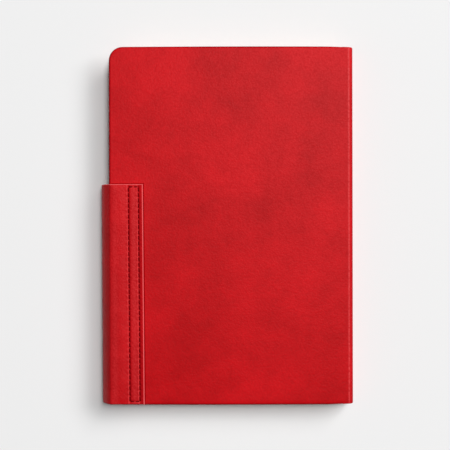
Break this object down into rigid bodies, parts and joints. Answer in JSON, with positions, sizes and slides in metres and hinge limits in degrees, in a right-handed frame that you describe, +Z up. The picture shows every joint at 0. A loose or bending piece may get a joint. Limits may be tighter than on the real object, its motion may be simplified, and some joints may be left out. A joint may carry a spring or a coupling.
{
  "type": "leather notebook",
  "caption": "Bound notebook in a smooth leather cover, with a sewn leather pen sleeve wrapped round the front cover's fore edge.",
  "frame": {"origin": "centre of the bounding box in X and Y, on the plane that the back cover lies on", "axes": "+X from the fore edge to the spine, +Y from the tail (bottom) edge to the head (top) edge, +Z up out of the front cover"},
  "size_m": [0.1482, 0.21, 0.0173],
  "materials": {
    "cover_leather": "matt, fine grain",
    "sleeve_leather": "matt, fine grain",
    "thread": "matt",
    "board": "matt",
    "endpaper": "matt",
    "page_paper": "matt",
    "mull": "matt",
    "headband": "satin"
  },
  "bodies": {
    "back_cover": {"back_board": "board", "back_cover_leather": "cover_leather", "back_pastedown": "endpaper"},
    "book_block": {"spine_board": "board", "spine_leather": "cover_leather", "spine_mull": "mull", "headband_head": "headband", "headband_tail": "headband", "signature_06": "page_paper", "signature_07": "page_paper", "signature_08": "page_paper", "signature_09": "page_paper", "signature_10": "page_paper", "signature_11": "page_paper", "signature_12": "page_paper", "back_flyleaf": "endpaper"},
    "front_cover": {"front_board": "board", "front_cover_leather": "cover_leather", "front_pastedown": "endpaper", "pen_sleeve": "sleeve_leather", "sleeve_stitching": "thread"},
    "turned_front_flyleaf": {"front_flyleaf": "endpaper"},
    "turned_signature_01": {"signature_01": "page_paper"},
    "turned_signature_02": {"signature_02": "page_paper"},
    "turned_signature_03": {"signature_03": "page_paper"},
    "turned_signature_04": {"signature_04": "page_paper"},
    "turned_signature_05": {"signature_05": "page_paper"}
  },
  "joints": [
    {"name": "back_joint", "type": "hinge", "parent": "back_cover", "child": "book_block", "pos_m": [0.0712, 0, 0.0029], "axis": [0, 1, 0], "range_deg": [0, 178]},
    {"name": "front_joint", "type": "hinge", "parent": "book_block", "child": "front_cover", "pos_m": [0.0712, 0, 0.01315], "axis": [0, 1, 0], "range_deg": [0, 178]},
    {"name": "front_flyleaf_fold", "type": "hinge", "parent": "book_block", "child": "turned_front_flyleaf", "pos_m": [0.0712, 0, 0.01315], "axis": [0, 1, 0], "range_deg": [0, 175.33]},
    {"name": "signature_01_fold", "type": "hinge", "parent": "book_block", "child": "turned_signature_01", "pos_m": [0.0712, 0, 0.01315], "axis": [0, 1, 0], "range_deg": [0, 172.66]},
    {"name": "signature_02_fold", "type": "hinge", "parent": "book_block", "child": "turned_signature_02", "pos_m": [0.0712, 0, 0.01315], "axis": [0, 1, 0], "range_deg": [0, 169.99]},
    {"name": "signature_03_fold", "type": "hinge", "parent": "book_block", "child": "turned_signature_03", "pos_m": [0.0712, 0, 0.01315], "axis": [0, 1, 0], "range_deg": [0, 167.32]},
    {"name": "signature_04_fold", "type": "hinge", "parent": "book_block", "child": "turned_signature_04", "pos_m": [0.0712, 0, 0.01315], "axis": [0, 1, 0], "range_deg": [0, 164.65]},
    {"name": "signature_05_fold", "type": "hinge", "parent": "book_block", "child": "turned_signature_05", "pos_m": [0.0712, 0, 0.01315], "axis": [0, 1, 0], "range_deg": [0, 161.98]}
  ],
  "couplings": [
    {"joint": "front_flyleaf_fold", "follows": "front_joint", "ratio": 0.985},
    {"joint": "signature_01_fold", "follows": "front_joint", "ratio": 0.97},
    {"joint": "signature_02_fold", "follows": "front_joint", "ratio": 0.955},
    {"joint": "signature_03_fold", "follows": "front_joint", "ratio": 0.94},
    {"joint": "signature_04_fold", "follows": "front_joint", "ratio": 0.925},
    {"joint": "signature_05_fold", "follows": "front_joint", "ratio": 0.91}
  ]
}
